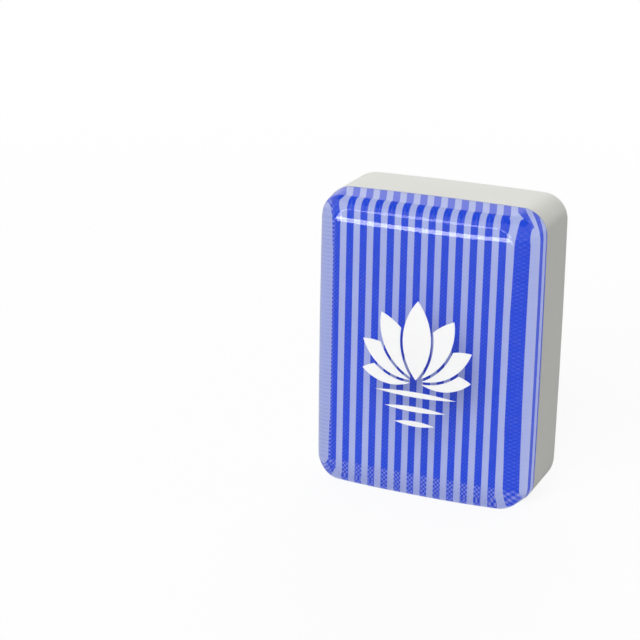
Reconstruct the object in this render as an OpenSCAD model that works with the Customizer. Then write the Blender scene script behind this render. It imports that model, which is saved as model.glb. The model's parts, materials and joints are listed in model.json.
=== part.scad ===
// Mahjong tile, standing on its short end: a white engraved block with a clear back bonded over a striped film.
// X runs across the tile, the engraved face looks along -Y, the clear back along +Y, and Z is up.

/* [Tile] */
// Width of the tile
tile_w = 22.5; // [20:0.1:26]
// Height of the tile
tile_h = 30; // [29:0.1:38]
// Thickness of the tile, from the engraved face to the clear back
tile_t = 12.4; // [11:0.1:18]
// Corner radius of the tile's outline
corner_r = 2.45; // [1.5:0.05:4]

/* [Edges] */
// Radius of the edge round the engraved face
face_edge_r = 2.4; // [1:0.05:3]
// Radius of the edge round the clear back
back_edge_r = 1.15; // [0.6:0.05:2]
// Inward lean of the clear back's sides, in degrees
back_lean = 4.3; // [0:0.1:6]

/* [Layers] */
// Thickness of the clear back
clear_t = 3.74; // [3.2:0.02:5]
// Thickness of the film that carries the stripes
film_t = 0.12; // [0.08:0.01:0.3]
// Thickness of the printed stripes on the film
stripe_t = 0.04; // [0.02:0.01:0.05]
// Thickness of the adhesive on each side of the film
bond_t = 0.08; // [0.06:0.01:0.2]

/* [Stripes] */
// Distance from one stripe to the next
stripe_pitch = 1.406; // [1:0.002:2.5]
// Width of a blue stripe
stripe_w = 0.74; // [0.3:0.01:0.9]
// Sideways place of the stripe nearest the middle
stripe_shift = -0.2; // [-0.7:0.01:0.7]

/* [Engraving] */
// Depth of the engraved grooves
groove_depth = 0.6; // [0.4:0.05:1]
// Thickness of the paint in the grooves
paint_t = 0.35; // [0.1:0.05:0.4]

/* [Medallion] */
// Outer radius of the black ring
ring_r = 8.5; // [6:0.1:8.6]
// Width of the ring's stroke
ring_stroke = 1.05; // [0.6:0.05:1.2]
// Distance of the ring from the tile's foot
ring_foot = 3; // [2.4:0.1:5]
// Gap between the ring and the rosette inside it
ring_gap = 0.5; // [0.3:0.05:1]
// Number of petals in the rosette
petal_count = 8; // [6:1:8]
// Width of a petal's outline stroke
petal_stroke = 0.55; // [0.3:0.05:0.6]

/* [Garland] */
// Gap between the ring and the garland above it
garland_gap = 1.1; // [0.6:0.1:2]
// How much higher the middle blossom sits
garland_rise = 0.7; // [0:0.1:1]
// Radius of a blossom
blossom_r = 1.82; // [1.4:0.02:2]
// Gap between two blossoms, which holds a pair of leaves
blossom_gap = 2.86; // [2:0.02:3]

/* [Back print] */
// Thickness of the white print that is pressed flush into the clear back
print_t = 0.04; // [0.02:0.01:0.1]
// Height of the printed lotus above its foot
lotus_h = 8; // [5:0.1:10]
// Height of the lotus's foot above the tile's foot
lotus_foot = 12.6; // [10:0.1:16]
// Gap between two petals of the lotus
lotus_gap = 0.28; // [0.2:0.02:0.5]
// Distance from one printed ripple to the next
ripple_pitch = 1.5; // [1:0.05:2]

/* [Hidden] */

// Circles are drawn with this many sides where they become facets
round_sides = 48;
$fn = round_sides;
// Steps along an edge's arc
arc_steps = 12;
// Sides of the wide circles whose arcs bound a leaf
leaf_sides = 240;
// Least radius that is left where an edge's arc reaches the flat face at a corner
least_corner_r = 0.05;
// Overlap of a cut past the surface that it opens
cut_margin = 1;

face_y = -tile_t / 2;
back_y = tile_t / 2;
print_y = back_y - print_t;
clear_y = back_y - clear_t;
film_y = clear_y - bond_t;
film_back_y = film_y - film_t;
block_y = film_back_y - bond_t;
paint_y = face_y + groove_depth;
stripe_count = ceil(tile_w / stripe_pitch / 2);

// The rosette fills the ring, and its parts are shares of its radius
medallion_z = ring_foot + ring_r;
rosette_r = ring_r - ring_stroke - ring_gap;
petal_root_r = rosette_r * 0.25;
petal_l = rosette_r - petal_root_r;
petal_w = petal_l * 0.5;
vein_l = petal_l * 0.38;
vein_w = petal_w * 0.23;
bead_r = rosette_r * 0.065;
bead_circle_r = rosette_r - bead_r;
eye_r = rosette_r * 0.15;

// The garland stands on the ring, and a blossom's parts are shares of its radius
garland_z = medallion_z + ring_r + garland_gap + blossom_r;
blossom_pitch = 2 * blossom_r + blossom_gap;
blossom_petals = 5;
blossom_petal_r = blossom_r * 0.34;
blossom_eye_r = blossom_r * 0.2;
leaf_l = blossom_gap * 0.76;
leaf_w = leaf_l * 0.39;
leaf_pitch = leaf_w * 1.55;

// Each pair of lotus petals: its lean from upright in degrees, and its share of the middle petal's length
LOTUS_PAIRS = [[30, 0.93], [58, 0.82], [85, 0.7]];
lotus_petal_w = lotus_h * 0.36;
ripple_l = lotus_h * 1.3;
ripple_w = ripple_pitch * 0.36;
ripple_count = 3;

// Outline of the tile in the plane of its face
module outline() {
    offset(r = corner_r)
        square([tile_w - 2 * corner_r, tile_h - 2 * corner_r], center = true);
}

// A flat drawing laid across the tile at depth y, t thick towards the back
module across(y, t) {
    translate([0, y + t, tile_h / 2])
        rotate([90, 0, 0])
            linear_extrude(t)
                children();
}

// An edge radius, limited by the corner that it runs round
function edge_limit(r, drop) = min(r, corner_r - least_corner_r - drop);

// Points along an edge's arc, from the side, which stands drop inside the corner, to the flat face:
// distance from the corner's axis, and depth
function edge_points(r, lean, drop) = [
    for (i = [arc_steps : -1 : 0])
        let (turn = 90 - lean, a = turn * i / arc_steps)
            [corner_r - drop - r * (sin(turn) - sin(a)), r * (1 - cos(a))]
];

// Section of the rim between depth y and the flat face at face: its side leans in, and its edge is an arc
module rim_section(y, face, r, lean) {
    inward = y > face ? 1 : -1;
    drop = (abs(face - y) - r * (1 - sin(lean))) * tan(lean);
    arc = edge_points(edge_limit(r, drop), lean, drop);
    polygon(concat([[0, y], [corner_r, y]], [for (p = arc) [p[0], face + inward * p[1]]], [[0, face]]));
}

// The tile's body between depth y and the flat face at face: a core, four straight rims and four corners
module rounded_body(y, face, r, lean) {
    translate([corner_r - tile_w / 2, min(y, face), corner_r])
        cube([tile_w - 2 * corner_r, abs(face - y), tile_h - 2 * corner_r]);
    for (k = [0 : 3]) {
        half = (k % 2 == 0 ? tile_w : tile_h) / 2;
        run = (k % 2 == 0 ? tile_h : tile_w) - 2 * corner_r;
        translate([0, 0, tile_h / 2])
            rotate([0, 90 * k, 0])
                translate([half - corner_r, 0, -run / 2]) {
                    linear_extrude(run)
                        rim_section(y, face, r, lean);
                    rotate([-90, 0, 0])
                        rotate_extrude(angle = 90)
                            rim_section(y, face, r, lean);
                }
    }
}

// A pointed leaf along Y, with its outline drawn in by inset
module lens(l, w, inset = 0) {
    r = (l * l + w * w) / (4 * w);
    intersection() {
        translate([r - w / 2, 0])
            circle(r - inset, $fn = leaf_sides);
        translate([w / 2 - r, 0])
            circle(r - inset, $fn = leaf_sides);
    }
}

// Places its children round the medallion's centre, along Y, at distance r
module round_medallion(r, turn = 0) {
    translate([0, medallion_z - tile_h / 2])
        for (i = [0 : petal_count - 1])
            rotate(360 * (i + turn) / petal_count)
                translate([0, r])
                    children();
}

module ring_shape() {
    translate([0, medallion_z - tile_h / 2])
        difference() {
            circle(ring_r);
            circle(ring_r - ring_stroke);
        }
}

module petal_shapes() {
    round_medallion(petal_root_r + petal_l / 2)
        difference() {
            lens(petal_l, petal_w);
            lens(petal_l, petal_w, petal_stroke);
        }
}

module vein_shapes() {
    round_medallion(petal_root_r + petal_l / 2)
        lens(vein_l, vein_w);
}

module bead_shapes() {
    round_medallion(bead_circle_r, 0.5)
        circle(bead_r);
}

module eye_shape() {
    translate([0, medallion_z - tile_h / 2])
        circle(eye_r);
}

module blossom_shape() {
    circle(blossom_eye_r);
    for (i = [0 : blossom_petals - 1])
        rotate(360 * i / blossom_petals)
            translate([0, blossom_r - blossom_petal_r])
                circle(blossom_petal_r);
}

module blossom_shapes() {
    for (i = [-1 : 1])
        translate([i * blossom_pitch, garland_z + (1 - abs(i)) * garland_rise - tile_h / 2])
            blossom_shape();
}

module leaf_shapes() {
    for (sx = [-1, 1], sz = [-1, 1])
        translate([sx * blossom_pitch / 2, garland_z + garland_rise / 2 + sz * leaf_pitch / 2 - tile_h / 2])
            rotate(90)
                lens(leaf_l, leaf_w);
}

module stripe_shapes() {
    intersection() {
        outline();
        for (i = [-stripe_count : stripe_count])
            translate([i * stripe_pitch + stripe_shift, 0])
                square([stripe_w, tile_h], center = true);
    }
}

// A petal of the lotus that leans by lean, share of the middle one's length, drawn out by spread
module lotus_petal(lean, share, spread = 0) {
    rotate(lean)
        translate([0, lotus_h * share / 2])
            lens(lotus_h * share, lotus_petal_w * share, -spread);
}

// The lotus: the middle petal stands in front, and each pair of petals behind the ones before it
module lotus_shape() {
    lotus_petal(0, 1);
    for (i = [0 : len(LOTUS_PAIRS) - 1], side = [-1, 1])
        difference() {
            lotus_petal(side * LOTUS_PAIRS[i][0], LOTUS_PAIRS[i][1]);
            lotus_petal(0, 1, lotus_gap);
            if (i > 0)
                lotus_petal(side * LOTUS_PAIRS[i - 1][0], LOTUS_PAIRS[i - 1][1], lotus_gap);
        }
}

// Ripples under the lotus, each one shorter than the one above it
module ripple_shapes() {
    for (i = [1 : ripple_count])
        translate([0, -ripple_pitch * i])
            rotate(90)
                lens(ripple_l * (1 - i / (ripple_count + 2)), ripple_w);
}

module print_shape() {
    translate([0, lotus_foot - tile_h / 2]) {
        lotus_shape();
        ripple_shapes();
    }
}

// Paint that lies on the floor of a groove
module paint(tint) {
    color(tint)
        across(paint_y - paint_t, paint_t)
            children();
}

// Groove of the same drawing
module groove() {
    across(face_y - cut_margin, groove_depth + cut_margin)
        children();
}

module face_block() {
    color("ivory")
        difference() {
            rounded_body(block_y, face_y, face_edge_r, 0);
            groove() ring_shape();
            groove() petal_shapes();
            groove() vein_shapes();
            groove() bead_shapes();
            groove() eye_shape();
            groove() blossom_shapes();
            groove() leaf_shapes();
        }
}

module ring_paint() {
    paint("black") ring_shape();
}

module petal_paint() {
    paint("darkgreen") petal_shapes();
}

module vein_paint() {
    paint("darkgreen") vein_shapes();
}

module bead_paint() {
    paint("darkgreen") bead_shapes();
}

module eye_paint() {
    paint("firebrick") eye_shape();
}

module blossom_paint() {
    paint("firebrick") blossom_shapes();
}

module leaf_paint() {
    paint("firebrick") leaf_shapes();
}

module block_bond() {
    color("whitesmoke")
        across(block_y, bond_t)
            outline();
}

module stripe_film() {
    color("lavender")
        across(film_back_y, film_t)
            outline();
}

module blue_stripes() {
    color("royalblue")
        across(film_y, stripe_t)
            stripe_shapes();
}

// The adhesive flows round the printed stripes
module clear_bond() {
    color("aliceblue")
        difference() {
            across(film_y, bond_t)
                outline();
            across(film_y - cut_margin, stripe_t + cut_margin)
                stripe_shapes();
        }
}

module clear_back() {
    color("lightblue", 0.4)
        difference() {
            rounded_body(clear_y, back_y, back_edge_r, back_lean);
            across(print_y, print_t + cut_margin)
                print_shape();
        }
}

module back_print() {
    color("white")
        across(print_y, print_t)
            print_shape();
}

face_block();
ring_paint();
petal_paint();
vein_paint();
bead_paint();
eye_paint();
blossom_paint();
leaf_paint();
block_bond();
stripe_film();
blue_stripes();
clear_bond();
clear_back();
back_print();
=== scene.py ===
"""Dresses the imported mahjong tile: an engraved white block with a clear back bonded over a striped film."""

import json
import logging
import math
from collections.abc import Sequence
from dataclasses import dataclass
from enum import Enum
from functools import cached_property, partial, reduce

import bmesh
import bpy
from mathutils import Matrix, Vector
from mathutils.geometry import delaunay_2d_cdt

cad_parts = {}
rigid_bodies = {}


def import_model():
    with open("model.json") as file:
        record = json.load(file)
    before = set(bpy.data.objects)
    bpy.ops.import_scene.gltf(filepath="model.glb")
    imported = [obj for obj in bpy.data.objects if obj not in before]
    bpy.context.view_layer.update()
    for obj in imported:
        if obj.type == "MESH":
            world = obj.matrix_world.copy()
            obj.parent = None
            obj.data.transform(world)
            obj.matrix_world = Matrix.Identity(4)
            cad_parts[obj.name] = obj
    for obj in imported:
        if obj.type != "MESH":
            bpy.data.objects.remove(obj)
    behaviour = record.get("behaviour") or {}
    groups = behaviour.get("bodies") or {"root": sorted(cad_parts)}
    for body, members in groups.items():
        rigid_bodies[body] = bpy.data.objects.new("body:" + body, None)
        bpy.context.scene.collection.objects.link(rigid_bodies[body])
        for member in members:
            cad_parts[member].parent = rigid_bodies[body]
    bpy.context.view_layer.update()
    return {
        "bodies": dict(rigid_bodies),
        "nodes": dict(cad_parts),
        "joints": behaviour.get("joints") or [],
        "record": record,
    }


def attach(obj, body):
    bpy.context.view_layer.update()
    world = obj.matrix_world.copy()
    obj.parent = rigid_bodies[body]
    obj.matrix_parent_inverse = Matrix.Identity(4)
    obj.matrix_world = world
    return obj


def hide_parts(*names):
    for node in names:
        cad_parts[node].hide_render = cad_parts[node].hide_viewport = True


LOG = logging.getLogger("tile")
MM = 0.001
QUARTER_TURN = math.pi / 2
FULL_TURN = 2 * math.pi
# For the face's triangles: keep those inside the loops, and take points as close as this as one
INSIDE_LOOPS = 1
SAME_POINT_MM = 1e-6

Point = tuple[float, float]
Loop = list[Point]
Colour = tuple[float, float, float]
WHITE: Colour = (1.0, 1.0, 1.0)
Socket = bpy.types.NodeSocket
Mesh = bpy.types.Mesh
Material = bpy.types.Material


class Slot(Enum):
    """Material slots of the record."""

    RESIN = "white_resin"
    BLACK = "black_paint"
    GREEN = "green_paint"
    RED = "red_paint"
    ADHESIVE = "clear_adhesive"
    FILM = "lilac_film"
    INK = "blue_ink"
    ACRYLIC = "clear_acrylic"
    PRINT = "white_ink"


@dataclass(frozen=True)
class TileSizes:
    """Sizes of the tile in millimetres, with the depths of its layers along Y."""

    width: float = 22.5
    height: float = 30.0
    thickness: float = 12.4
    corner_r: float = 2.45
    least_corner_r: float = 0.05
    side_bow: float = 0.1
    end_bow: float = 0.13
    face_edge_r: float = 2.4
    clear_t: float = 3.74
    film_t: float = 0.12
    bond_t: float = 0.08

    @property
    def middle_z(self) -> float:
        """Height of the tile's middle."""
        return self.height / 2

    @property
    def face_y(self) -> float:
        """Depth of the engraved face."""
        return -self.thickness / 2

    @property
    def back_y(self) -> float:
        """Depth of the clear back's flat face."""
        return self.thickness / 2

    @property
    def film_y(self) -> float:
        """Depth of the film's printed side."""
        return self.back_y - self.clear_t - self.bond_t

    @property
    def film_back_y(self) -> float:
        """Depth of the film's other side."""
        return self.film_y - self.film_t

    @property
    def block_y(self) -> float:
        """Depth of the white block's bonded side."""
        return self.film_back_y - self.bond_t

    def outline(self, inset: float = 0.0, end_inset: float | None = None, corner: float | None = None,
                corner_steps: int = 16, side_steps: int = 16) -> Loop:
        """Outline of the tile across X and Z, with sides that bow out a little.

        Args:
            inset: How far the outline is drawn in.
            end_inset: How far its two ends are drawn in, if that differs.
            corner: Radius of its corners, if that isn't what the inset leaves.
            corner_steps: Steps round each corner.
            side_steps: Steps along each side.

        Returns:
            Points of the closed outline.
        """
        half_w = self.width / 2 - self.side_bow - inset
        half_h = self.height / 2 - self.end_bow - (inset if end_inset is None else end_inset)
        if corner is None:
            corner = max(self.corner_r - inset, self.least_corner_r)
        arcs: list[Loop] = []
        for k, (sx, sz) in enumerate(((1, 1), (-1, 1), (-1, -1), (1, -1))):
            turns = [(k + i / corner_steps) * QUARTER_TURN for i in range(corner_steps + 1)]
            arcs.append([(sx * (half_w - corner) + corner * math.cos(turn),
                          sz * (half_h - corner) + corner * math.sin(turn)) for turn in turns])
        plain: Loop = []
        for arc, following in zip(arcs, arcs[1:] + arcs[:1]):
            (x0, z0), (x1, z1) = arc[-1], following[0]
            plain.extend(arc)
            plain.extend((x0 + (x1 - x0) * i / side_steps, z0 + (z1 - z0) * i / side_steps)
                         for i in range(1, side_steps))
        bowed: Loop = []
        for x, z in plain:
            across, along = x / half_w, z / half_h
            bowed.append((x + self.side_bow * (1 - min(1, along * along)) * across,
                          z + self.end_bow * (1 - min(1, across * across)) * along + self.middle_z))
        return bowed


def side_shares(corner_steps: int, side_steps: int) -> list[float]:
    """How much each point of an outline belongs to the tile's sides.

    Args:
        corner_steps: Steps round each corner.
        side_steps: Steps along each side.

    Returns:
        For each point 1 on the sides, 0 on the ends, and between them round the corners.
    """
    made: list[float] = []
    for k in range(4):
        made.extend(math.cos((k + i / corner_steps) * QUARTER_TURN) ** 2 for i in range(corner_steps + 1))
        made.extend([float(k % 2)] * (side_steps - 1))
    return made


class Solid:
    """Gathers points and faces in millimetres and makes a mesh of them."""

    weld_mm = 1e-4

    def __init__(self) -> None:
        """Starts with no points."""
        self.points: list[tuple[float, float, float]] = []
        self.faces: list[tuple[int, ...]] = []

    def ring(self, loop: Loop, depth: float | Sequence[float]) -> list[int]:
        """Adds a loop.

        Args:
            loop: Points across X and Z.
            depth: Depth of the loop, or of each of its points.

        Returns:
            Numbers of the new points.
        """
        first = len(self.points)
        depths = depth if isinstance(depth, Sequence) else [depth] * len(loop)
        self.points.extend((x, y, z) for (x, z), y in zip(loop, depths))
        return list(range(first, len(self.points)))

    def loft(self, *rings: Sequence[int]) -> None:
        """Joins each of a row of rings to the next.

        Args:
            rings: Rings with the same number of points.
        """
        for a, b in zip(rings, rings[1:]):
            for i in range(len(a)):
                j = (i + 1) % len(a)
                self.faces.append((a[i], a[j], b[j], b[i]))

    def lid(self, ring: Sequence[int]) -> None:
        """Closes a ring with one flat face."""
        self.faces.append(tuple(ring))

    def mesh(self, name: str, sharp_deg: float = 30.0) -> Mesh:
        """Makes the mesh, with its faces outwards.

        Args:
            name: Name of the mesh.
            sharp_deg: Angle past which an edge stays sharp.

        Returns:
            The mesh, in metres.
        """
        made = bpy.data.meshes.new(name)
        made.from_pydata([(x * MM, y * MM, z * MM) for x, y, z in self.points], [], self.faces)
        shell = bmesh.new()
        shell.from_mesh(made)
        bmesh.ops.remove_doubles(shell, verts=shell.verts, dist=self.weld_mm * MM)
        bmesh.ops.recalc_face_normals(shell, faces=shell.faces)
        for face in shell.faces:
            face.smooth = True
        shell.to_mesh(made)
        shell.free()
        made.set_sharp_from_angle(angle=math.radians(sharp_deg))
        return made


class Nodes:
    """A node tree, with short ways to add and join its nodes."""

    def __init__(self, tree: bpy.types.NodeTree) -> None:
        """Starts with an empty tree."""
        self.tree = tree
        self.tree.nodes.clear()

    def feed(self, socket: Socket, value: object) -> None:
        """Links a socket to another one, or sets its value.

        Args:
            socket: The socket to feed.
            value: The other socket, or the value.
        """
        if isinstance(value, Socket):
            self.tree.links.new(value, socket)
        else:
            socket.default_value = (*value, 1) if socket.type == "RGBA" else value

    def add(self, kind: str, inputs: dict | None = None, **settings: object) -> bpy.types.Node:
        """Adds a node.

        Args:
            kind: Type of the node.
            inputs: Values or sockets for its inputs, by name or number.
            settings: Its properties.

        Returns:
            The new node.
        """
        node = self.tree.nodes.new(kind)
        for key, value in settings.items():
            setattr(node, key, value)
        for key, value in (inputs or {}).items():
            self.feed(node.inputs[key], value)
        return node

    def math(self, kind: str, *values: object) -> Socket:
        """One step of arithmetic on sockets or numbers."""
        return self.add("ShaderNodeMath", dict(enumerate(values)), operation=kind).outputs[0]

    def vector(self, **axes: object) -> Socket:
        """A vector from sockets or numbers for X, Y and Z."""
        return self.add("ShaderNodeCombineXYZ", axes).outputs["Vector"]

    def split(self, vector: Socket) -> Sequence[Socket]:
        """X, Y and Z of a vector."""
        return self.add("ShaderNodeSeparateXYZ", {"Vector": vector}).outputs

    def ramp(self, value: Socket, span: Point, results: Point) -> Socket:
        """Runs from the first of two results to the second while a value crosses a span."""
        names = ("Value", "From Min", "From Max", "To Min", "To Max")
        return self.add("ShaderNodeMapRange", dict(zip(names, (value, *span, *results)))).outputs["Result"]

    def seen_by(self, *rays: str) -> Socket:
        """1 for some kinds of rays, given by their names, and 0 for others."""
        path = self.add("ShaderNodeLightPath").outputs
        return reduce(partial(self.math, "MAXIMUM"), [path[ray] for ray in rays])


class Shader(Nodes):
    """A material's node tree."""

    noise_detail = 2.0

    def __init__(self, name: str) -> None:
        """Starts an empty material."""
        self.material = bpy.data.materials.new(name)
        self.material.use_nodes = True
        super().__init__(self.material.node_tree)

    def place(self, cell_mm: float) -> Socket:
        """Object coordinates, counted in cells of the given size."""
        coords = self.add("ShaderNodeTexCoord").outputs["Object"]
        per_metre = 1 / (cell_mm * MM)
        return self.add("ShaderNodeMapping", {"Vector": coords, "Scale": (per_metre,) * 3}).outputs["Vector"]

    def noise(self, cell_mm: float) -> Socket:
        """Smooth noise between 0 and 1 with cells of the given size."""
        inputs = {"Vector": self.place(cell_mm), "Scale": 1.0, "Detail": self.noise_detail}
        return self.add("ShaderNodeTexNoise", inputs).outputs["Fac"]

    def bump(self, cell_mm: float, depth_mm: float) -> Socket:
        """A normal from noise whose full range is depth_mm deep."""
        inputs = {"Height": self.noise(cell_mm), "Strength": 1.0, "Distance": depth_mm * MM}
        return self.add("ShaderNodeBump", inputs).outputs["Normal"]

    def between(self, share: Socket, low: object, high: object) -> Socket:
        """A colour between two others, by the share of the second."""
        inputs = {"Factor": share, "A": low, "B": high}
        return self.add("ShaderNodeMix", inputs, data_type="RGBA").outputs["Result"]

    def mixed(self, share: Socket, first: Socket, second: Socket) -> Socket:
        """A surface between two others, by the share of the second."""
        return self.add("ShaderNodeMixShader", {"Fac": share, 1: first, 2: second}).outputs["Shader"]

    def close(self, surface: Socket) -> Material:
        """Ends the tree with a surface and gives the material."""
        self.add("ShaderNodeOutputMaterial", {"Surface": surface})
        return self.material


@dataclass(frozen=True)
class Finish:
    """How one material slot looks: a colour that drifts a little between two others."""

    slot: Slot
    low: Colour
    high: Colour

    @cached_property
    def material(self) -> Material:
        """The material, made once."""
        shader = Shader(self.slot.value)
        return shader.close(self.surface(shader))

    def surface(self, shader: Shader) -> Socket:
        """Builds the surface, which each kind of finish does in its own way."""
        raise NotImplementedError


@dataclass(frozen=True)
class Enamel(Finish):
    """A glossy opaque finish."""

    roughness: float = 0.3
    specular: float = 0.5
    cell_mm: float = 2.0
    bump_cell_mm: float = 0.5
    bump_mm: float = 0.004

    def surface(self, shader: Shader) -> Socket:
        """Builds the surface.

        Args:
            shader: The material's tree.

        Returns:
            The finished surface.
        """
        return shader.add("ShaderNodeBsdfPrincipled", {
            "Base Color": shader.between(shader.noise(self.cell_mm), self.low, self.high),
            "Normal": shader.bump(self.bump_cell_mm, self.bump_mm),
            "Roughness": self.roughness,
            "Specular IOR Level": self.specular,
        }).outputs["BSDF"]


@dataclass(frozen=True)
class ScreenPrint(Finish):
    """A matt printed layer with the dots of its printing screen, strongest at one side and at the foot."""

    dots: Colour
    border_share: float = 0.8
    roughness: float = 0.7
    cell_mm: float = 1.2
    grain_cell_mm: float = 0.7
    grain_share: float = 0.24
    dot_pitch_mm: float = 0.42
    dot_power: float = 2.0
    border_x_mm: float = 9.5
    border_z_mm: float = 1.9
    fade_mm: float = 0.25

    def dot_share(self, shader: Shader) -> Socket:
        """Share of the dots' colour.

        Args:
            shader: The material's tree.

        Returns:
            The share from 0 to 1.
        """
        x_mm, _, z_mm = shader.split(shader.place(1.0))
        per_mm = FULL_TURN / self.dot_pitch_mm
        waves = [shader.math("SINE", shader.math("MULTIPLY", place, per_mm)) for place in (x_mm, z_mm)]
        dots = shader.math("MULTIPLY_ADD", shader.math("MULTIPLY", *waves), 0.5, 0.5)
        side = shader.math("SUBTRACT", x_mm, self.border_x_mm)
        foot = shader.math("SUBTRACT", self.border_z_mm, z_mm)
        kept = shader.math("MINIMUM", foot, shader.math("ADD", x_mm, self.border_x_mm))
        reach = shader.math("DIVIDE", shader.math("MAXIMUM", side, kept), self.fade_mm)
        near = shader.add("ShaderNodeClamp", {"Value": reach}).outputs["Result"]
        grain = shader.math("MULTIPLY", shader.noise(self.grain_cell_mm), self.grain_share)
        level = shader.math("MAXIMUM", grain, shader.math("MULTIPLY", near, self.border_share))
        return shader.math("MULTIPLY", shader.math("POWER", dots, self.dot_power), level)

    def surface(self, shader: Shader) -> Socket:
        """Builds the surface.

        Args:
            shader: The material's tree.

        Returns:
            The finished surface.
        """
        ground = shader.between(shader.noise(self.cell_mm), self.low, self.high)
        return shader.add("ShaderNodeBsdfPrincipled", {
            "Base Color": shader.between(self.dot_share(shader), ground, self.dots),
            "Roughness": self.roughness,
            "Specular IOR Level": 0.0,
        }).outputs["BSDF"]


@dataclass(frozen=True)
class ClearPlastic(Finish):
    """Polished clear acrylic that lets light through to what lies under it."""

    ior: float = 1.49
    cell_mm: float = 4.0
    bump_cell_mm: float = 3.0
    bump_mm: float = 0.0002

    def surface(self, shader: Shader) -> Socket:
        """Builds the surface.

        Args:
            shader: The material's tree.

        Returns:
            The finished surface.
        """
        glass = shader.add("ShaderNodeBsdfPrincipled", {
            "Base Color": shader.between(shader.noise(self.cell_mm), self.low, self.high),
            "Normal": shader.bump(self.bump_cell_mm, self.bump_mm),
            "Transmission Weight": 1.0,
            "IOR": self.ior,
            "Roughness": 0.0,
        }).outputs["BSDF"]
        clear = shader.add("ShaderNodeBsdfTransparent").outputs["BSDF"]
        return shader.mixed(shader.seen_by("Is Shadow Ray"), glass, clear)


RESIN = Enamel(Slot.RESIN, (0.75, 0.75, 0.69), (0.79, 0.79, 0.735), roughness=0.28, cell_mm=6.0,
               bump_cell_mm=1.5, bump_mm=0.003)
BLACK = Enamel(Slot.BLACK, (0.003, 0.003, 0.003), (0.008, 0.008, 0.008), specular=0.12)
GREEN = Enamel(Slot.GREEN, (0.01, 0.09, 0.014), (0.018, 0.13, 0.022), specular=0.15)
RED = Enamel(Slot.RED, (0.42, 0.004, 0.004), (0.55, 0.008, 0.008), specular=0.2)
GLUE = Enamel(Slot.ADHESIVE, (0.5, 0.5, 0.55), (0.6, 0.6, 0.64), roughness=0.35, bump_mm=0.001)
FILM = ScreenPrint(Slot.FILM, (0.38, 0.435, 0.73), (0.42, 0.475, 0.76), (0.2, 0.23, 0.56), border_share=0.35)
INK = ScreenPrint(Slot.INK, (0.004, 0.046, 0.605), (0.008, 0.063, 0.67), (0.36, 0.4, 0.74))
CLEAR = ClearPlastic(Slot.ACRYLIC, (0.97, 0.98, 1.0), WHITE)
WHITE_INK = Enamel(Slot.PRINT, (0.93, 0.93, 0.93), (0.96, 0.96, 0.96), roughness=0.5, cell_mm=1.0,
                   bump_mm=0.001)


def show(name: str, mesh: Mesh, material: Material) -> bpy.types.Object:
    """Puts a mesh into the scene with one material.

    Args:
        name: Name of the object.
        mesh: Its mesh.
        material: Its finish.

    Returns:
        The new object.
    """
    mesh.materials.clear()
    mesh.materials.append(material)
    piece = bpy.data.objects.new(name, mesh)
    bpy.context.scene.collection.objects.link(piece)
    return piece


def hand_over(mesh: Mesh, finish: Finish, *nodes: str) -> None:
    """Shows a finished mesh in place of CAD nodes, named after the first of them, and reports it.

    Args:
        mesh: The finished mesh.
        finish: Its finish.
        nodes: The CAD nodes that it stands for.
    """
    piece = show(nodes[0] + "_piece", mesh, finish.material)
    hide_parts(*nodes)
    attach(piece, "root")
    LOG.info("%s: %d faces, stands for %s", piece.name, len(mesh.polygons), ", ".join(nodes))


@dataclass(frozen=True)
class Disc:
    """A round drawing."""

    radius: float
    steps: int

    @property
    def half_width(self) -> float:
        """Inset at which nothing of the drawing is left."""
        return self.radius

    def loop(self, inset: float) -> Loop:
        """Its outline, drawn in by inset."""
        r = self.radius - inset
        turns = [FULL_TURN * i / self.steps for i in range(self.steps)]
        return [(r * math.cos(turn), r * math.sin(turn)) for turn in turns]


@dataclass(frozen=True)
class Leaf:
    """A pointed drawing along Z between two arcs, with fine round tips."""

    length: float
    width: float
    tip_r: float = 0.06
    arc_steps: int = 24
    tip_steps: int = 8

    @property
    def half_width(self) -> float:
        """Inset at which nothing of the drawing is left."""
        return self.width / 2

    def loop(self, inset: float) -> Loop:
        """Its outline.

        Args:
            inset: How far the outline is drawn in.

        Returns:
            Points of the closed outline.
        """
        arc_r = (self.length ** 2 + self.width ** 2) / (4 * self.width)
        offset = arc_r - self.width / 2
        core = max(self.tip_r, inset)
        tip = math.sqrt(max((arc_r - core) ** 2 - offset ** 2, 0.0))
        reach = math.asin(tip / (arc_r - core))
        half: Loop = []
        for i in range(self.arc_steps):
            a = -reach + 2 * reach * i / self.arc_steps
            half.append(((arc_r - inset) * math.cos(a) - offset, (arc_r - inset) * math.sin(a)))
        for i in range(self.tip_steps):
            a = reach + (math.pi - 2 * reach) * i / self.tip_steps
            half.append(((core - inset) * math.cos(a), tip + (core - inset) * math.sin(a)))
        return half + [(-x, -z) for x, z in half]


@dataclass(frozen=True)
class Place:
    """Where a drawing lies on the face: its centre, and its turn about that centre."""

    x: float = 0.0
    z: float = 0.0
    turn: float = 0.0

    def of(self, loop: Loop) -> Loop:
        """Puts a loop there."""
        c, s = math.cos(self.turn), math.sin(self.turn)
        return [(self.x + c * x - s * z, self.z + s * x + c * z) for x, z in loop]

    def after(self, other: "Place") -> "Place":
        """This place, taken inside another one."""
        (x, z), = other.of([(self.x, self.z)])
        return Place(x, z, self.turn + other.turn)


@dataclass(frozen=True)
class Groove:
    """One engraved drawing: a whole shape, or the stroke along its outline."""

    shape: Disc | Leaf
    place: Place = Place()
    stroke: float | None = None

    def loop(self, inset: float) -> Loop:
        """Its outline at its place, drawn in by inset."""
        return self.place.of(self.shape.loop(inset))


def laid(grooves: Sequence[Groove], places: Sequence[Place]) -> list[Groove]:
    """The grooves at each of some places."""
    return [Groove(g.shape, g.place.after(at), g.stroke) for g in grooves for at in places]


def turned(count: int) -> list[Place]:
    """Places turned evenly about one centre."""
    return [Place(turn=FULL_TURN * i / count) for i in range(count)]


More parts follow.
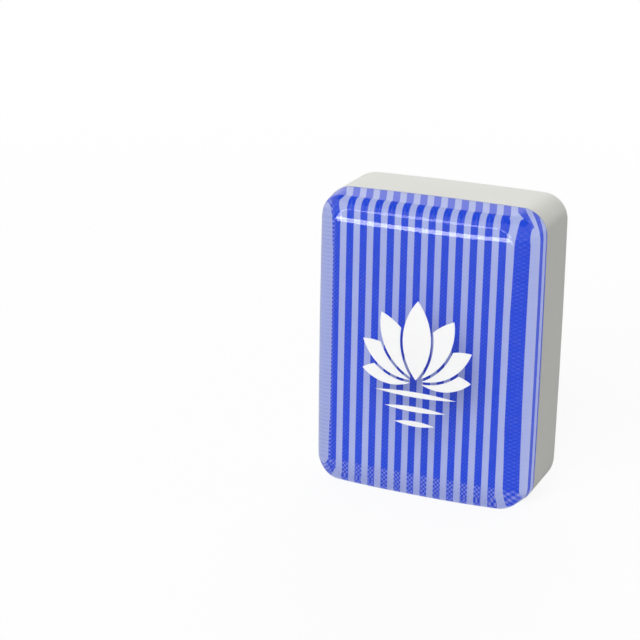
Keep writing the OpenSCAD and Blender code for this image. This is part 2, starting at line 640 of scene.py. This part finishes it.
def in_row(count: int) -> list[float]:
    """Numbers of a row's members, counted from the middle of the row."""
    return [i - (count - 1) / 2 for i in range(count)]


@dataclass(frozen=True)
class Engraving:
    """The drawings on the face, their grooves and their paint."""

    sizes: TileSizes
    # Grooves and the paint in them
    depth: float = 0.6
    paint_t: float = 0.35
    paint_dip: float = 0.05
    dip_power: int = 3
    paint_steps: int = 10
    paint_reach: float = 0.96
    overlap: float = 0.004
    lip_r: float = 0.1
    lip_steps: int = 4
    # Ring
    ring_r: float = 8.5
    ring_stroke: float = 1.05
    ring_foot: float = 3.0
    ring_gap: float = 0.5
    ring_steps: int = 160
    # Rosette, with sizes as shares of its radius or of a petal's length
    petal_count: int = 8
    petal_stroke: float = 0.55
    petal_share: float = 0.75
    petal_width_share: float = 0.5
    vein_share: float = 0.38
    vein_width_share: float = 0.115
    bead_share: float = 0.065
    eye_share: float = 0.15
    eye_steps: int = 72
    dot_steps: int = 40
    # Garland: a blossom's shares are of its radius, a leaf's of the gap, of its length and of its width
    garland_gap: float = 1.1
    garland_rise: float = 0.7
    blossom_r: float = 1.82
    blossom_gap: float = 2.86
    blossom_count: int = 3
    blossom_petals: int = 5
    blossom_petal_share: float = 0.34
    blossom_petal_steps: int = 48
    blossom_eye_share: float = 0.2
    leaf_share: float = 0.76
    leaf_width_share: float = 0.39
    leaf_spread: float = 0.775

    @property
    def centre(self) -> Place:
        """The medallion's centre."""
        return Place(0.0, self.ring_foot + self.ring_r)

    @property
    def rosette_r(self) -> float:
        """Radius that the rosette fills."""
        return self.ring_r - self.ring_stroke - self.ring_gap

    @property
    def petal_l(self) -> float:
        """Length of a petal."""
        return self.rosette_r * self.petal_share

    @property
    def petal_place(self) -> Place:
        """Place of the upright petal about the medallion's centre."""
        return Place(0.0, self.rosette_r - self.petal_l / 2)

    @property
    def blossom_pitch(self) -> float:
        """Distance from one blossom to the next."""
        return 2 * self.blossom_r + self.blossom_gap

    @property
    def garland_z(self) -> float:
        """Height of the outer blossoms' centres."""
        return self.centre.z + self.ring_r + self.garland_gap + self.blossom_r

    @property
    def leaf_z(self) -> float:
        """Height between the two leaves of a pair."""
        return self.garland_z + self.garland_rise / 2

    def ring(self) -> list[Groove]:
        """The ring, about the medallion's centre."""
        return [Groove(Disc(self.ring_r, self.ring_steps), stroke=self.ring_stroke)]

    def eye(self) -> list[Groove]:
        """The disc in the medallion's centre."""
        return [Groove(Disc(self.rosette_r * self.eye_share, self.eye_steps))]

    def petal(self) -> list[Groove]:
        """The outline of the upright petal."""
        shape = Leaf(self.petal_l, self.petal_l * self.petal_width_share)
        return [Groove(shape, self.petal_place, self.petal_stroke)]

    def vein(self) -> list[Groove]:
        """The vein of the upright petal."""
        shape = Leaf(self.petal_l * self.vein_share, self.petal_l * self.vein_width_share)
        return [Groove(shape, self.petal_place)]

    def bead(self) -> list[Groove]:
        """The bead half a step round from the upright petal."""
        bead_r = self.rosette_r * self.bead_share
        half_step = Place(turn=math.pi / self.petal_count)
        return [Groove(Disc(bead_r, self.dot_steps), Place(0.0, self.rosette_r - bead_r).after(half_step))]

    def blossom(self) -> list[Groove]:
        """One blossom about its own centre: a dot and its round petals."""
        petal_r = self.blossom_r * self.blossom_petal_share
        petal = Groove(Disc(petal_r, self.blossom_petal_steps), Place(0.0, self.blossom_r - petal_r))
        eye = Groove(Disc(self.blossom_r * self.blossom_eye_share, self.dot_steps))
        return [eye] + laid([petal], turned(self.blossom_petals))

    def leaf_pair(self) -> list[Groove]:
        """Two leaves that lie across, one over the other, about the middle between them."""
        length = self.blossom_gap * self.leaf_share
        width = length * self.leaf_width_share
        places = [Place(0.0, side * width * self.leaf_spread, QUARTER_TURN) for side in (-1, 1)]
        return laid([Groove(Leaf(length, width))], places)

    def grooves(self) -> list[Groove]:
        """All grooves of the face, each at its place."""
        rosette = [turn.after(self.centre) for turn in turned(self.petal_count)]
        blossoms = [Place(i * self.blossom_pitch, self.garland_z + (1 - abs(i)) * self.garland_rise)
                    for i in in_row(self.blossom_count)]
        leaves = [Place(i * self.blossom_pitch, self.leaf_z) for i in in_row(self.blossom_count - 1)]
        return [
            *laid(self.ring() + self.eye(), [self.centre]),
            *laid(self.petal() + self.vein() + self.bead(), rosette),
            *laid(self.blossom(), blossoms),
            *laid(self.leaf_pair(), leaves),
        ]

    def fill(self, solid: Solid, groove: Groove) -> None:
        """Adds the paint of one groove, whose surface sinks a little between the walls.

        Args:
            solid: Where the paint goes.
            groove: The groove that it lies in.
        """
        floor_y = self.sizes.face_y + self.depth
        top_y = floor_y - self.paint_t - self.paint_dip
        whole = groove.stroke is None
        span = groove.shape.half_width * self.paint_reach if whole else groove.stroke
        shares = [i / self.paint_steps for i in range(self.paint_steps + 1)]
        insets = [span * share for share in shares]
        insets[0] -= self.overlap
        if not whole:
            insets[-1] += self.overlap
        rings = []
        for share, inset in zip(shares, insets):
            from_wall = share if whole else 1 - abs(2 * share - 1)
            sunk = self.paint_dip * (1 - (1 - from_wall) ** self.dip_power)
            rings.append(solid.ring(groove.loop(inset), top_y + sunk))
        outer = solid.ring(groove.loop(insets[0]), floor_y)
        if whole:
            solid.loft(outer, *rings)
            solid.lid(rings[-1])
            solid.lid(outer)
        else:
            inner = solid.ring(groove.loop(insets[-1]), floor_y)
            solid.loft(outer, *rings, inner, outer)

    def paint(self, name: str, grooves: Sequence[Groove]) -> Mesh:
        """The paint of some grooves.

        Args:
            name: Name of the mesh.
            grooves: The grooves that it fills.

        Returns:
            The paint's mesh.
        """
        solid = Solid()
        for groove in grooves:
            self.fill(solid, groove)
        return solid.mesh(name)


@dataclass(frozen=True)
class FaceBlock:
    """The white engraved block."""

    sizes: TileSizes
    plan: Engraving
    edge_steps: int = 20
    corner_share: float = 0.5
    sharp_deg: float = 40.0

    def lip(self, solid: Solid, groove: Groove, base: float, outwards: int) -> tuple[Loop, list[int]]:
        """Adds one wall of a groove with its rounded lip.

        Args:
            solid: Where the wall goes.
            groove: The groove.
            base: Inset of the wall.
            outwards: -1 where the face lies outside this wall, 1 where it lies inside.

        Returns:
            The loop in the face's plane, and the wall's ring on the floor.
        """
        plan = self.plan
        turns = [QUARTER_TURN * i / plan.lip_steps for i in range(plan.lip_steps + 1)]
        loops = [groove.loop(base + outwards * plan.lip_r * (1 - math.sin(turn))) for turn in turns]
        rings = [solid.ring(loop, self.sizes.face_y + plan.lip_r * (1 - math.cos(turn)))
                 for loop, turn in zip(loops, turns)]
        rings.append(solid.ring(groove.loop(base), self.sizes.face_y + plan.depth))
        solid.loft(*rings)
        return loops[0], rings[-1]

    def cut(self, solid: Solid) -> tuple[list[Loop], list[Loop]]:
        """Adds the walls and floors of all grooves.

        Args:
            solid: Where they go.

        Returns:
            The rims of the grooves in the face's plane, and the rims of the islands inside them.
        """
        rims: list[Loop] = []
        islands: list[Loop] = []
        for groove in self.plan.grooves():
            rim, foot = self.lip(solid, groove, 0.0, -1)
            rims.append(rim)
            if groove.stroke is None:
                solid.lid(foot)
            else:
                island, inner_foot = self.lip(solid, groove, groove.stroke, 1)
                islands.append(island)
                solid.loft(foot, inner_foot)
        return rims, islands

    def flat(self, solid: Solid, border: Loop, rims: Sequence[Loop], islands: Sequence[Loop]) -> None:
        """Adds the flat face, without the triangles over grooves, which lie inside more rims than islands.

        Args:
            solid: Where it goes.
            border: The face's border.
            rims: Rims of the grooves.
            islands: Rims of the islands inside them.
        """
        points: list[Vector] = []
        loops: list[list[int]] = []
        for loop in (border, *rims, *islands):
            loops.append(list(range(len(points), len(points) + len(loop))))
            points.extend(Vector(p) for p in loop)
        signs = [0] + [1] * len(rims) + [-1] * len(islands)
        found, _, triangles, _, _, owners = delaunay_2d_cdt(points, [], loops, INSIDE_LOOPS, SAME_POINT_MM)
        first = len(solid.points)
        solid.points.extend((x, self.sizes.face_y, z) for x, z in found)
        for triangle, around in zip(triangles, owners):
            if sum(signs[loop] for loop in around) == 0:
                solid.faces.append(tuple(first + i for i in triangle))

    def build(self) -> None:
        """Builds the block with its rounded edges, flat face and grooves."""
        sizes = self.sizes
        solid = Solid()
        rings = [solid.ring(sizes.outline(), sizes.block_y)]
        border: Loop = []
        for i in range(self.edge_steps + 1):
            turn = QUARTER_TURN * (1 - i / self.edge_steps)
            inset = sizes.face_edge_r * (1 - math.sin(turn))
            border = sizes.outline(inset, corner=sizes.corner_r - self.corner_share * inset)
            rings.append(solid.ring(border, sizes.face_y + sizes.face_edge_r * (1 - math.cos(turn))))
        solid.loft(*rings)
        solid.lid(rings[0])
        self.flat(solid, border, *self.cut(solid))
        hand_over(solid.mesh("face_block_mesh", self.sharp_deg), RESIN, "face_block")


class NodeArray(Nodes):
    """A Geometry Nodes tree that repeats a mesh, made in the script with named inputs."""

    def __init__(self, name: str, *lengths: str) -> None:
        """Starts a tree that takes a mesh, a count, a material and some lengths.

        Args:
            name: Name of the tree.
            lengths: Names of the lengths.
        """
        super().__init__(bpy.data.node_groups.new(name, "GeometryNodeTree"))
        self.identifiers: dict[str, str] = {}
        kinds = {"Geometry": "NodeSocketGeometry", "Count": "NodeSocketInt", "Material": "NodeSocketMaterial"}
        for key in (*kinds, *lengths):
            kind = kinds.get(key, "NodeSocketFloat")
            socket = self.tree.interface.new_socket(key, in_out="INPUT", socket_type=kind)
            self.identifiers[key] = socket.identifier
        self.tree.interface.new_socket("Geometry", in_out="OUTPUT", socket_type=kinds["Geometry"])
        self.given = self.add("NodeGroupInput").outputs
        self.index = self.add("GeometryNodeInputIndex").outputs["Index"]

    def steps(self) -> Socket:
        """Number of each copy, counted from the middle of the row."""
        half = self.math("MULTIPLY", self.math("SUBTRACT", self.given["Count"], 1.0), 0.5)
        return self.math("SUBTRACT", self.index, half)

    def copies(self, shape: Socket, place: Socket, turn: object = (0.0, 0.0, 0.0)) -> Socket:
        """Copies of a shape.

        Args:
            shape: The mesh to repeat.
            place: Where each copy goes.
            turn: How each copy is turned.

        Returns:
            The copies, which aren't real meshes yet.
        """
        points = self.add("GeometryNodePoints", {"Count": self.given["Count"], "Position": place})
        inputs = {"Points": points.outputs["Points"], "Instance": shape, "Rotation": turn}
        return self.add("GeometryNodeInstanceOnPoints", inputs).outputs["Instances"]

    def realized(self, copies: Socket) -> Socket:
        """The copies as one real mesh."""
        return self.add("GeometryNodeRealizeInstances", {"Geometry": copies}).outputs["Geometry"]

    def close(self, copies: Socket) -> None:
        """Makes the copies real, sets their material and ends the tree."""
        inputs = {"Geometry": self.realized(copies), "Material": self.given["Material"]}
        coat = self.add("GeometryNodeSetMaterial", inputs)
        self.add("NodeGroupOutput", {"Geometry": coat.outputs["Geometry"]})

    def run(self, mesh: Mesh, finish: Finish, count: int, **lengths: float) -> Mesh:
        """Runs the tree on a mesh.

        Args:
            mesh: The mesh that goes in.
            finish: Finish of the copies.
            count: How many copies are made.
            lengths: The named lengths, in millimetres.

        Returns:
            The finished mesh.
        """
        carrier = show(mesh.name, mesh, finish.material)
        modifier = carrier.modifiers.new(self.tree.name, "NODES")
        modifier.node_group = self.tree
        values: dict[str, object] = {key: length * MM for key, length in lengths.items()}
        values.update(Count=count, Material=finish.material)
        for key, value in values.items():
            modifier[self.identifiers[key]] = value
        graph = bpy.context.evaluated_depsgraph_get()
        made = bpy.data.meshes.new_from_object(carrier.evaluated_get(graph))
        bpy.data.objects.remove(carrier)
        return made


class RoundArray(NodeArray):
    """Copies of a mesh, turned about the Y axis."""

    def __init__(self) -> None:
        """Builds the tree."""
        super().__init__("copies_round_a_centre", "Height")
        step = self.math("DIVIDE", FULL_TURN, self.given["Count"])
        turn = self.vector(Y=self.math("MULTIPLY", self.index, step))
        self.close(self.copies(self.given["Geometry"], self.vector(Z=self.given["Height"]), turn))


class RowArray(NodeArray):
    """Copies of a mesh in a row along X, the middle of which may sit higher."""

    def __init__(self) -> None:
        """Builds the tree."""
        super().__init__("copies_in_a_row", "Pitch", "Height", "Rise")
        steps = self.steps()
        across = self.math("MULTIPLY", steps, self.given["Pitch"])
        share = self.math("SUBTRACT", 1.0, self.math("ABSOLUTE", steps))
        up = self.math("ADD", self.given["Height"], self.math("MULTIPLY", self.given["Rise"], share))
        self.close(self.copies(self.given["Geometry"], self.vector(X=across, Z=up)))


class StripeArray(NodeArray):
    """Upright bars in a row along X, cut to the mesh that goes in."""

    def __init__(self) -> None:
        """Builds the tree."""
        lengths = ("Pitch", "Shift", "Width", "Height", "Thickness", "Depth")
        super().__init__("stripes_cut_to_an_outline", *lengths)
        given = self.given
        across = self.math("ADD", self.math("MULTIPLY", self.steps(), given["Pitch"]), given["Shift"])
        place = self.vector(X=across, Y=given["Depth"], Z=self.math("MULTIPLY", given["Height"], 0.5))
        size = self.vector(X=given["Width"], Y=given["Thickness"], Z=given["Height"])
        bar = self.add("GeometryNodeMeshCube", {"Size": size}).outputs["Mesh"]
        cut = self.add("GeometryNodeMeshBoolean", operation="INTERSECT", solver="EXACT")
        for mesh in (self.realized(self.copies(bar, place)), given["Geometry"]):
            self.feed(cut.inputs["Mesh 2"], mesh)
        self.close(cut.outputs["Mesh"])


@dataclass(frozen=True)
class Paints:
    """The paint in the block's grooves."""

    plan: Engraving

    def build(self) -> None:
        """Builds each drawing's paint."""
        plan = self.plan
        for node, grooves, finish in (("ring_paint", plan.ring(), BLACK), ("eye_paint", plan.eye(), RED)):
            hand_over(plan.paint(node + "_mesh", laid(grooves, [plan.centre])), finish, node)
        rosette = RoundArray()
        drawings = {"petal_paint": plan.petal(), "vein_paint": plan.vein(), "bead_paint": plan.bead()}
        for node, grooves in drawings.items():
            copy = plan.paint(node + "_copy", grooves)
            hand_over(rosette.run(copy, GREEN, plan.petal_count, Height=plan.centre.z), GREEN, node)
        garland = RowArray()
        blossoms = garland.run(plan.paint("blossom_copy", plan.blossom()), RED, plan.blossom_count,
                               Pitch=plan.blossom_pitch, Height=plan.garland_z, Rise=plan.garland_rise)
        hand_over(blossoms, RED, "blossom_paint")
        leaves = garland.run(plan.paint("leaf_copy", plan.leaf_pair()), RED, plan.blossom_count - 1,
                             Pitch=plan.blossom_pitch, Height=plan.leaf_z, Rise=0.0)
        hand_over(leaves, RED, "leaf_paint")


@dataclass(frozen=True)
class Laminate:
    """The film with its printed stripes, and the adhesive behind it."""

    sizes: TileSizes
    glue_inset: float = 0.02
    film_inset: float = 0.01
    overlap: float = 0.005
    stripe_t: float = 0.02
    stripe_pitch: float = 1.389
    stripe_w: float = 0.72
    stripe_shift: float = -0.262
    stripe_inset: float = 0.014
    cut_margin: float = 1.0

    def plate(self, name: str, inset: float, low_y: float, high_y: float) -> Mesh:
        """A thin plate with the tile's outline.

        Args:
            name: Name of the mesh.
            inset: How far its outline is drawn in.
            low_y: Depth of its side towards the face.
            high_y: Depth of its side towards the back.

        Returns:
            The plate's mesh.
        """
        solid = Solid()
        rings = [solid.ring(self.sizes.outline(inset), y) for y in (low_y, high_y)]
        solid.loft(*rings)
        for ring in rings:
            solid.lid(ring)
        return solid.mesh(name)

    def build(self) -> None:
        """Builds the adhesive, the film and the stripes."""
        sizes = self.sizes
        glue = self.plate("block_bond_mesh", self.glue_inset, sizes.block_y - self.overlap,
                          sizes.film_back_y + self.overlap)
        hand_over(glue, GLUE, "block_bond")
        film = self.plate("stripe_film_mesh", self.film_inset, sizes.film_back_y, sizes.film_y)
        hand_over(film, FILM, "stripe_film")
        cutter = self.plate("stripe_outline", self.stripe_inset, sizes.film_y - self.cut_margin,
                            sizes.film_y + self.cut_margin)
        count = 2 * math.ceil(sizes.width / self.stripe_pitch / 2) + 1
        stripes = StripeArray().run(cutter, INK, count, Pitch=self.stripe_pitch, Shift=self.stripe_shift,
                                    Width=self.stripe_w, Height=sizes.height, Thickness=self.stripe_t,
                                    Depth=sizes.film_y)
        hand_over(stripes, INK, "blue_stripes")


@dataclass(frozen=True)
class EdgeProfile:
    """Rounding along one pair of the clear back's edges: a leaning side, a tight edge and a wide swell."""

    lean_deg: float
    edge_r: float
    swell_r: float
    swell_deg: float

    @property
    def swell(self) -> float:
        """Tilt at which the tight edge takes over from the swell."""
        return math.radians(self.swell_deg)

    @property
    def turn(self) -> float:
        """Tilt at which the leaning side takes over from the tight edge."""
        return math.radians(90 - self.lean_deg)

    @property
    def swell_run(self) -> float:
        """How far the swell reaches across the back, from its start to its rim."""
        return self.swell_r * math.sin(self.swell)

    def tilt(self, share: float) -> float:
        """Tilt part of the way from the leaning side, at 0, to the swell, at 1."""
        return self.turn + (self.swell - self.turn) * share

    def edge_inset(self, tilt: float) -> float:
        """How far the tight edge is drawn in from the side's top, where it has some tilt."""
        return self.edge_r * (math.sin(self.turn) - math.sin(tilt))

    def edge_depth(self, tilt: float) -> float:
        """How deep the tight edge lies under the swell's rim, where it has some tilt."""
        return self.edge_r * (math.cos(self.swell) - math.cos(tilt))

    def lean_inset(self, whole: float) -> float:
        """How far the leaning side is drawn in at its top, on a back that is whole thick."""
        height = whole - self.edge_depth(self.turn) - self.sag(self.swell_run)
        return height * math.tan(math.radians(self.lean_deg))

    def sag(self, run: float) -> float:
        """How far the swell has fallen after some run, up to its rim."""
        reach = min(max(run, 0.0), self.swell_run)
        return self.swell_r - math.sqrt(self.swell_r ** 2 - reach ** 2)


@dataclass(frozen=True)
class ClearBack:
    """The clear back, which is one body with the clear adhesive under it, and the print in its face."""

    sizes: TileSizes
    sides: EdgeProfile = EdgeProfile(lean_deg=8.0, edge_r=2.12, swell_r=77.0, swell_deg=5.3)
    ends: EdgeProfile = EdgeProfile(lean_deg=4.3, edge_r=1.15, swell_r=16.0, swell_deg=6.0)
    sunk: float = 0.01
    overlap: float = 0.015
    least_corner_r: float = 1.3
    corner_share: float = 0.5
    corner_steps: int = 24
    side_steps: int = 48
    edge_steps: int = 32
    back_steps: int = 40
    back_power: float = 1.5

    @property
    def flat_y(self) -> float:
        """Depth of the back's middle, just under the print's face."""
        return self.sizes.back_y - self.sunk

    @property
    def base_y(self) -> float:
        """Depth of the bonded side, just inside the film."""
        return self.sizes.film_y - self.overlap

    @cached_property
    def rim(self) -> Loop:
        """Outline of the swell's rim."""
        return self.edge_loop(1.0)

    @cached_property
    def rim_half(self) -> Point:
        """Half the width and half the height of the swell's rim."""
        return max(x for x, _ in self.rim), max(z for _, z in self.rim) - self.sizes.middle_z

    def edge_loop(self, share: float) -> Loop:
        """Outline part of the way up the tight edge.

        Args:
            share: 0 at the top of the leaning side, 1 at the rim of the swell.

        Returns:
            Points of the outline.
        """
        whole = self.flat_y - self.base_y
        insets = [p.lean_inset(whole) + p.edge_inset(p.tilt(share)) for p in (self.sides, self.ends)]
        corner = max(self.sizes.corner_r - self.corner_share * min(insets), self.least_corner_r)
        return self.sizes.outline(*insets, corner, self.corner_steps, self.side_steps)

    def sink(self, x: float, z: float) -> float:
        """How far the swollen back has fallen away at a point.

        Args:
            x: Place across the tile.
            z: Height on the tile.

        Returns:
            The fall under the back's middle.
        """
        places = (abs(x), abs(z - self.sizes.middle_z))
        fall = 0.0
        for profile, place, half in zip((self.sides, self.ends), places, self.rim_half):
            fall += profile.sag(place - half + profile.swell_run)
        return fall

    def shell(self) -> Mesh:
        """The clear back: leaning sides, tight edges and a swollen back.

        Returns:
            Its mesh.
        """
        solid = Solid()
        steps = (self.corner_steps, self.side_steps)
        rings = [solid.ring(self.sizes.outline(0.0, None, None, *steps), self.base_y)]
        side_share = side_shares(*steps)
        for i in range(self.edge_steps + 1):
            share = i / self.edge_steps
            side, end = (p.edge_depth(p.tilt(share)) for p in (self.sides, self.ends))
            loop = self.edge_loop(share)
            depths = [self.flat_y - self.sink(x, z) - c * side - (1 - c) * end
                      for (x, z), c in zip(loop, side_share)]
            rings.append(solid.ring(loop, depths))
        middle = self.sizes.middle_z
        for i in range(1, self.back_steps):
            scale = 1 - (i / self.back_steps) ** self.back_power
            loop = [(x * scale, middle + (z - middle) * scale) for x, z in self.rim]
            rings.append(solid.ring(loop, [self.flat_y - self.sink(x, z) for x, z in loop]))
        solid.loft(*rings)
        solid.lid(rings[0])
        solid.lid(rings[-1])
        return solid.mesh("clear_back_mesh")

    def marking(self, node: bpy.types.Object) -> Mesh:
        """The print, laid along the swollen back.

        Args:
            node: The print's CAD node.

        Returns:
            The print's mesh.
        """
        mesh = node.data.copy()
        mesh.name = "back_print_mesh"
        for vertex in mesh.vertices:
            vertex.co.y -= self.sink(vertex.co.x / MM, vertex.co.z / MM) * MM
        return mesh

    def build(self, frame: dict) -> None:
        """Builds the clear back and the print on it.

        Args:
            frame: The loaded CAD frame.
        """
        hand_over(self.shell(), CLEAR, "clear_back", "clear_bond")
        hand_over(self.marking(frame["nodes"]["back_print"]), WHITE_INK, "back_print")


@dataclass(frozen=True)
class View:
    """The photograph's viewpoint on the tile, as a pinhole camera for a square picture."""

    focal_px: float = 1884.38
    picture_px: float = 640.0
    pitch_deg: float = 18.61
    roll_deg: float = 0.83
    distance: float = 185.33
    aim_z: float = 16.685
    yaw_deg: float = 156.21
    side: float = 11.768
    sensor_mm: float = 36.0
    clip_mm: float = 10.0

    def build(self) -> None:
        """Makes the camera the scene's own."""
        data = bpy.data.cameras.new("photo_view")
        data.sensor_width = self.sensor_mm
        data.lens = self.focal_px / self.picture_px * self.sensor_mm
        data.clip_start = self.clip_mm * MM
        camera = bpy.data.objects.new("photo_view", data)
        pitch = math.radians(self.pitch_deg)
        back, rise = self.distance * math.cos(pitch), self.distance * math.sin(pitch)
        place = Matrix.Translation(Vector((-self.side, -back, self.aim_z + rise)) * MM)
        turn = Matrix.Rotation(-math.radians(self.yaw_deg), 4, "Z")
        tilt = Matrix.Rotation(QUARTER_TURN - pitch, 4, "X")
        roll = Matrix.Rotation(math.radians(self.roll_deg), 4, "Z")
        camera.matrix_world = turn @ place @ tilt @ roll
        bpy.context.scene.collection.objects.link(camera)
        bpy.context.scene.camera = camera


@dataclass(frozen=True)
class Softbox:
    """A square or long lamp that looks at the tile, with its lengths in metres."""

    name: str
    towards: tuple[float, float, float]
    level: float
    distance: float = 0.6
    width: float = 0.4
    height: float = 0.4
    lights: bool = True

    def build(self, aim: Vector) -> None:
        """Hangs the lamp, which either lights the tile or only shines in its gloss.

        Args:
            aim: The point that it looks at, in metres.
        """
        data = bpy.data.lights.new(self.name, "AREA")
        data.shape = "RECTANGLE"
        data.size, data.size_y = self.width, self.height
        data.energy = self.level * math.pi ** 2 * self.distance ** 2
        lamp = bpy.data.objects.new(self.name, data)
        out = Vector(self.towards).normalized()
        turn = out.to_track_quat("Z", "Y").to_matrix().to_4x4()
        lamp.matrix_world = Matrix.Translation(aim + out * self.distance) @ turn
        lamp.visible_diffuse = self.lights
        lamp.visible_glossy = not self.lights
        lamp.visible_transmission = False
        bpy.context.scene.collection.objects.link(lamp)


SOFTBOXES = (
    Softbox("key", (0.05, 0.8, 0.55), level=0.735),
    Softbox("fill", (0.25, -0.93, 0.25), level=0.62),
    Softbox("upper_strip", (0.207, 0.97, 0.12), level=0.153, distance=0.0915, width=0.073, height=0.012,
            lights=False),
    Softbox("lower_strip", (0.249, 0.966, -0.061), level=0.126, distance=0.085, width=0.065, height=0.0045,
            lights=False),
    Softbox("left_strip", (0.582, 0.812, 0.033), level=0.028, distance=0.091, width=0.005, height=0.018,
            lights=False),
    Softbox("right_strip", (-0.1, 0.91, 0.03), level=0.012, distance=0.09, width=0.005, height=0.018,
            lights=False),
)


@dataclass(frozen=True)
class Studio:
    """The pale floor, the white surroundings and the lamps, with lengths in metres."""

    floor_half: float = 3.0
    floor_tone: float = 0.65
    shown_tone: float = 1.0
    white_share: float = 0.9
    fade_from: float = 0.02
    fade_to: float = 0.2
    dim_light: float = 0.33
    wall_top: float = 0.52
    wall_fade: float = 0.12
    ceiling_level: float = 0.2

    def floor(self) -> None:
        """Lays the pale floor, which is whiter to look at than as light and keeps the tile's shadow."""
        k = self.floor_half
        mesh = bpy.data.meshes.new("floor")
        mesh.from_pydata([(-k, -k, 0), (k, -k, 0), (k, k, 0), (-k, k, 0)], [], [(0, 1, 2, 3)])
        shader = Shader("pale_floor")
        shown = shader.seen_by("Is Camera Ray", "Is Transmission Ray")
        tone = shader.between(shown, (self.floor_tone,) * 3, (self.shown_tone,) * 3)
        paper = shader.add("ShaderNodeBsdfDiffuse", {"Color": tone}).outputs["BSDF"]
        white = shader.add("ShaderNodeEmission", {"Color": WHITE}).outputs["Emission"]
        metres = shader.place(1 / MM)
        reach = shader.add("ShaderNodeVectorMath", {0: metres}, operation="LENGTH").outputs["Value"]
        share = shader.ramp(reach, (self.fade_from, self.fade_to), (self.white_share, 1.0))
        surface = shader.mixed(shader.math("MULTIPLY", shown, share), paper, white)
        show("floor", mesh, shader.close(surface))

    def surroundings(self) -> None:
        """White surroundings that are dimmer as light than they look."""
        world = bpy.data.worlds.new("white_surroundings")
        bpy.context.scene.world = world
        world.use_nodes = True
        nodes = Nodes(world.node_tree)
        up = nodes.split(nodes.add("ShaderNodeTexCoord").outputs["Generated"])["Z"]
        shown = nodes.seen_by("Is Camera Ray", "Is Glossy Ray", "Is Transmission Ray")
        ceiling = nodes.ramp(up, (self.wall_top, self.wall_top + self.wall_fade), (1.0, self.ceiling_level))
        level = nodes.add("ShaderNodeMix", {"Factor": shown, "A": self.dim_light, "B": ceiling})
        glow = nodes.add("ShaderNodeBackground", {"Color": WHITE, "Strength": level.outputs["Result"]})
        nodes.add("ShaderNodeOutputWorld", {"Surface": glow.outputs["Background"]})

    def build(self, aim: Vector) -> None:
        """Sets up the floor, the surroundings and the lamps.

        Args:
            aim: The point that the lamps look at, in metres.
        """
        self.floor()
        self.surroundings()
        for softbox in SOFTBOXES:
            softbox.build(aim)
        bpy.context.scene.view_settings.view_transform = "Standard"


def main() -> None:
    """Builds the tile's pieces in order, then the studio and the camera."""
    logging.basicConfig(level=logging.INFO, format="%(name)s: %(message)s")
    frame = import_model()
    sizes = TileSizes()
    plan = Engraving(sizes)
    FaceBlock(sizes, plan).build()
    Paints(plan).build()
    Laminate(sizes).build()
    ClearBack(sizes).build(frame)
    Studio().build(Vector((0, 0, sizes.middle_z * MM)))
    View().build()


if __name__ == "__main__":
    main()
